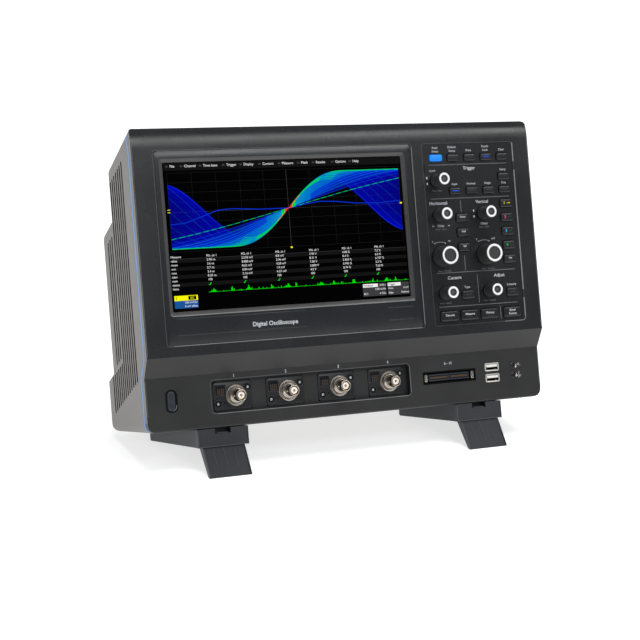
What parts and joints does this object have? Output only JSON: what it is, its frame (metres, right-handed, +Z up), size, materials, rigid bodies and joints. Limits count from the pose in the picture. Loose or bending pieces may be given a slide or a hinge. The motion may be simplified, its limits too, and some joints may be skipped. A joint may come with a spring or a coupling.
{
  "type": "oscilloscope",
  "caption": "Bench oscilloscope with a wide touch display, key and knob panel, BNC inputs along the front, vented rear housing and turning feet with fold-down flaps.",
  "frame": {"origin": "centre of the footprint on the surface it stands on", "axes": "+X to the right as the user faces the display, +Y to the back, +Z up; the front faces -Y and leans back"},
  "size_m": [0.38, 0.1806, 0.2813],
  "materials": {
    "bezel_plastic": "fine textured charcoal",
    "housing_plastic": "fine textured grey",
    "trim_plastic": "satin light blue",
    "panel_plastic": "satin blue-black",
    "display_glass": "gloss black",
    "key_plastic": "matt dark grey",
    "blue_key_plastic": "satin blue",
    "knob_plastic": "matt black with a white ring",
    "shaft_steel": "bright",
    "foot_plastic": "matt slate",
    "connector_nickel": "bright nickel",
    "circuit_board": "solder mask",
    "sheet_metal": "satin",
    "fan_plastic": "black"
  },
  "bodies": {
    "case": {"control_board": "circuit_board", "control_panel": "panel_plastic", "display_surround": "panel_plastic", "fan_frame": "fan_plastic", "front_bezel": "bezel_plastic", "front_connector_board": "circuit_board", "input_module_1": "connector_nickel", "input_module_2": "connector_nickel", "input_module_3": "connector_nickel", "input_module_4": "connector_nickel", "main_board": "circuit_board", "power_supply": "sheet_metal", "rear_housing": "housing_plastic", "rear_panel": "sheet_metal", "touch_display": "display_glass", "trim_strip": "trim_plastic"},
    "adjust_encoder_shaft": {"adjust_encoder_shaft": "shaft_steel"},
    "adjust_knob": {"adjust_knob": "knob_plastic"},
    "cursor_encoder_shaft": {"cursor_encoder_shaft": "shaft_steel"},
    "cursor_knob": {"cursor_knob": "knob_plastic"},
    "delay_encoder_shaft": {"delay_encoder_shaft": "shaft_steel"},
    "delay_knob": {"delay_knob": "knob_plastic"},
    "fan_rotor": {"fan_rotor": "fan_plastic"},
    "key_auto_setup": {"key_auto_setup": "blue_key_plastic"},
    "key_channel_1": {"key_channel_1": "key_plastic"},
    "key_channel_2": {"key_channel_2": "key_plastic"},
    "key_channel_3": {"key_channel_3": "key_plastic"},
    "key_channel_4": {"key_channel_4": "key_plastic"},
    "key_clear": {"key_clear": "key_plastic"},
    "key_cursor_type": {"key_cursor_type": "key_plastic"},
    "key_decode": {"key_decode": "key_plastic"},
    "key_default_setup": {"key_default_setup": "key_plastic"},
    "key_digital": {"key_digital": "key_plastic"},
    "key_generator": {"key_generator": "key_plastic"},
    "key_history": {"key_history": "key_plastic"},
    "key_intensity": {"key_intensity": "key_plastic"},
    "key_measure": {"key_measure": "key_plastic"},
    "key_print": {"key_print": "key_plastic"},
    "key_reference": {"key_reference": "key_plastic"},
    "key_roll": {"key_roll": "key_plastic"},
    "key_touch_lock": {"key_touch_lock": "key_plastic"},
    "key_trigger_auto": {"key_trigger_auto": "key_plastic"},
    "key_trigger_normal": {"key_trigger_normal": "key_plastic"},
    "key_trigger_setup": {"key_trigger_setup": "key_plastic"},
    "key_trigger_single": {"key_trigger_single": "key_plastic"},
    "key_trigger_stop": {"key_trigger_stop": "key_plastic"},
    "key_zoom": {"key_zoom": "key_plastic"},
    "left_foot_base": {"left_foot_base": "foot_plastic"},
    "left_foot_flap": {"left_foot_flap": "foot_plastic"},
    "level_encoder_shaft": {"level_encoder_shaft": "shaft_steel"},
    "level_knob": {"level_knob": "knob_plastic"},
    "offset_encoder_shaft": {"offset_encoder_shaft": "shaft_steel"},
    "offset_knob": {"offset_knob": "knob_plastic"},
    "power_button": {"power_button": "key_plastic"},
    "right_foot_base": {"right_foot_base": "foot_plastic"},
    "right_foot_flap": {"right_foot_flap": "foot_plastic"},
    "time_scale_encoder_shaft": {"time_scale_encoder_shaft": "shaft_steel"},
    "time_scale_knob": {"time_scale_knob": "knob_plastic"},
    "volt_scale_encoder_shaft": {"volt_scale_encoder_shaft": "shaft_steel"},
    "volt_scale_knob": {"volt_scale_knob": "knob_plastic"}
  },
  "joints": [
    {"name": "key_auto_setup_press", "type": "slide", "parent": "case", "child": "key_auto_setup", "axis": [0, 0.955, -0.2967], "range_m": [0, 0.0008], "stiffness_N_per_m": 250},
    {"name": "key_channel_1_press", "type": "slide", "parent": "case", "child": "key_channel_1", "axis": [0, 0.955, -0.2967], "range_m": [0, 0.0008], "stiffness_N_per_m": 250},
    {"name": "key_channel_2_press", "type": "slide", "parent": "case", "child": "key_channel_2", "axis": [0, 0.955, -0.2967], "range_m": [0, 0.0008], "stiffness_N_per_m": 250},
    {"name": "key_channel_3_press", "type": "slide", "parent": "case", "child": "key_channel_3", "axis": [0, 0.955, -0.2967], "range_m": [0, 0.0008], "stiffness_N_per_m": 250},
    {"name": "key_channel_4_press", "type": "slide", "parent": "case", "child": "key_channel_4", "axis": [0, 0.955, -0.2967], "range_m": [0, 0.0008], "stiffness_N_per_m": 250},
    {"name": "key_clear_press", "type": "slide", "parent": "case", "child": "key_clear", "axis": [0, 0.955, -0.2967], "range_m": [0, 0.0008], "stiffness_N_per_m": 250},
    {"name": "key_cursor_type_press", "type": "slide", "parent": "case", "child": "key_cursor_type", "axis": [0, 0.955, -0.2967], "range_m": [0, 0.0008], "stiffness_N_per_m": 250},
    {"name": "key_decode_press", "type": "slide", "parent": "case", "child": "key_decode", "axis": [0, 0.955, -0.2967], "range_m": [0, 0.0008], "stiffness_N_per_m": 250},
    {"name": "key_default_setup_press", "type": "slide", "parent": "case", "child": "key_default_setup", "axis": [0, 0.955, -0.2967], "range_m": [0, 0.0008], "stiffness_N_per_m": 250},
    {"name": "key_digital_press", "type": "slide", "parent": "case", "child": "key_digital", "axis": [0, 0.955, -0.2967], "range_m": [0, 0.0008], "stiffness_N_per_m": 250},
    {"name": "key_generator_press", "type": "slide", "parent": "case", "child": "key_generator", "axis": [0, 0.955, -0.2967], "range_m": [0, 0.0008], "stiffness_N_per_m": 250},
    {"name": "key_history_press", "type": "slide", "parent": "case", "child": "key_history", "axis": [0, 0.955, -0.2967], "range_m": [0, 0.0008], "stiffness_N_per_m": 250},
    {"name": "key_intensity_press", "type": "slide", "parent": "case", "child": "key_intensity", "axis": [0, 0.955, -0.2967], "range_m": [0, 0.0008], "stiffness_N_per_m": 250},
    {"name": "key_measure_press", "type": "slide", "parent": "case", "child": "key_measure", "axis": [0, 0.955, -0.2967], "range_m": [0, 0.0008], "stiffness_N_per_m": 250},
    {"name": "key_print_press", "type": "slide", "parent": "case", "child": "key_print", "axis": [0, 0.955, -0.2967], "range_m": [0, 0.0008], "stiffness_N_per_m": 250},
    {"name": "key_reference_press", "type": "slide", "parent": "case", "child": "key_reference", "axis": [0, 0.955, -0.2967], "range_m": [0, 0.0008], "stiffness_N_per_m": 250},
    {"name": "key_roll_press", "type": "slide", "parent": "case", "child": "key_roll", "axis": [0, 0.955, -0.2967], "range_m": [0, 0.0008], "stiffness_N_per_m": 250},
    {"name": "key_touch_lock_press", "type": "slide", "parent": "case", "child": "key_touch_lock", "axis": [0, 0.955, -0.2967], "range_m": [0, 0.0008], "stiffness_N_per_m": 250},
    {"name": "key_trigger_auto_press", "type": "slide", "parent": "case", "child": "key_trigger_auto", "axis": [0, 0.955, -0.2967], "range_m": [0, 0.0008], "stiffness_N_per_m": 250},
    {"name": "key_trigger_normal_press", "type": "slide", "parent": "case", "child": "key_trigger_normal", "axis": [0, 0.955, -0.2967], "range_m": [0, 0.0008], "stiffness_N_per_m": 250},
    {"name": "key_trigger_setup_press", "type": "slide", "parent": "case", "child": "key_trigger_setup", "axis": [0, 0.955, -0.2967], "range_m": [0, 0.0008], "stiffness_N_per_m": 250},
    {"name": "key_trigger_single_press", "type": "slide", "parent": "case", "child": "key_trigger_single", "axis": [0, 0.955, -0.2967], "range_m": [0, 0.0008], "stiffness_N_per_m": 250},
    {"name": "key_trigger_stop_press", "type": "slide", "parent": "case", "child": "key_trigger_stop", "axis": [0, 0.955, -0.2967], "range_m": [0, 0.0008], "stiffness_N_per_m": 250},
    {"name": "key_zoom_press", "type": "slide", "parent": "case", "child": "key_zoom", "axis": [0, 0.955, -0.2967], "range_m": [0, 0.0008], "stiffness_N_per_m": 250},
    {"name": "power_button_press", "type": "slide", "parent": "case", "child": "power_button", "axis": [0, 0.955, -0.2967], "range_m": [0, 0.0012], "stiffness_N_per_m": 300},
    {"name": "level_knob_press", "type": "slide", "parent": "case", "child": "level_encoder_shaft", "axis": [0, 0.955, -0.2967], "range_m": [0, 0.0005], "stiffness_N_per_m": 400},
    {"name": "level_knob_turn", "type": "hinge", "parent": "level_encoder_shaft", "child": "level_knob", "pos_m": [0.0924, -0.02574, 0.23481], "axis": [0, -0.955, 0.2967], "continuous": true},
    {"name": "delay_knob_press", "type": "slide", "parent": "case", "child": "delay_encoder_shaft", "axis": [0, 0.955, -0.2967], "range_m": [0, 0.0005], "stiffness_N_per_m": 400},
    {"name": "delay_knob_turn", "type": "hinge", "parent": "delay_encoder_shaft", "child": "delay_knob", "pos_m": [0.0924, -0.03494, 0.20521], "axis": [0, -0.955, 0.2967], "continuous": true},
    {"name": "offset_knob_press", "type": "slide", "parent": "case", "child": "offset_encoder_shaft", "axis": [0, 0.955, -0.2967], "range_m": [0, 0.0005], "stiffness_N_per_m": 400},
    {"name": "offset_knob_turn", "type": "hinge", "parent": "offset_encoder_shaft", "child": "offset_knob", "pos_m": [0.1374, -0.03494, 0.20521], "axis": [0, -0.955, 0.2967], "continuous": true},
    {"name": "time_scale_knob_press", "type": "slide", "parent": "case", "child": "time_scale_encoder_shaft", "axis": [0, 0.955, -0.2967], "range_m": [0, 0.0005], "stiffness_N_per_m": 400},
    {"name": "time_scale_knob_turn", "type": "hinge", "parent": "time_scale_encoder_shaft", "child": "time_scale_knob", "pos_m": [0.0924, -0.046, 0.16959], "axis": [0, -0.955, 0.2967], "continuous": true},
    {"name": "volt_scale_knob_press", "type": "slide", "parent": "case", "child": "volt_scale_encoder_shaft", "axis": [0, 0.955, -0.2967], "range_m": [0, 0.0005], "stiffness_N_per_m": 400},
    {"name": "volt_scale_knob_turn", "type": "hinge", "parent": "volt_scale_encoder_shaft", "child": "volt_scale_knob", "pos_m": [0.1374, -0.046, 0.16959], "axis": [0, -0.955, 0.2967], "continuous": true},
    {"name": "cursor_knob_press", "type": "slide", "parent": "case", "child": "cursor_encoder_shaft", "axis": [0, 0.955, -0.2967], "range_m": [0, 0.0005], "stiffness_N_per_m": 400},
    {"name": "cursor_knob_turn", "type": "hinge", "parent": "cursor_encoder_shaft", "child": "cursor_knob", "pos_m": [0.0924, -0.05583, 0.13798], "axis": [0, -0.955, 0.2967], "continuous": true},
    {"name": "adjust_knob_press", "type": "slide", "parent": "case", "child": "adjust_encoder_shaft", "axis": [0, 0.955, -0.2967], "range_m": [0, 0.0005], "stiffness_N_per_m": 400},
    {"name": "adjust_knob_turn", "type": "hinge", "parent": "adjust_encoder_shaft", "child": "adjust_knob", "pos_m": [0.1374, -0.05583, 0.13798], "axis": [0, -0.955, 0.2967], "continuous": true},
    {"name": "left_foot_swivel", "type": "hinge", "parent": "case", "child": "left_foot_base", "pos_m": [-0.124, -0.01891, 0.01918], "axis": [0, 0.2967, 0.955], "range_deg": [0, 180]},
    {"name": "left_foot_flap_fold", "type": "hinge", "parent": "left_foot_base", "child": "left_foot_flap", "pos_m": [-0.124, -0.06295, 0.0227], "axis": [1, 0, 0], "range_deg": [0, 121.4]},
    {"name": "right_foot_swivel", "type": "hinge", "parent": "case", "child": "right_foot_base", "pos_m": [0.124, -0.01891, 0.01918], "axis": [0, 0.2967, 0.955], "range_deg": [-180, 0]},
    {"name": "right_foot_flap_fold", "type": "hinge", "parent": "right_foot_base", "child": "right_foot_flap", "pos_m": [0.124, -0.06295, 0.0227], "axis": [1, 0, 0], "range_deg": [0, 121.4]},
    {"name": "fan_spin", "type": "hinge", "parent": "case", "child": "fan_rotor", "pos_m": [-0.096, 0.0525, 0.12265], "axis": [0, 0.955, -0.2967], "continuous": true}
  ]
}
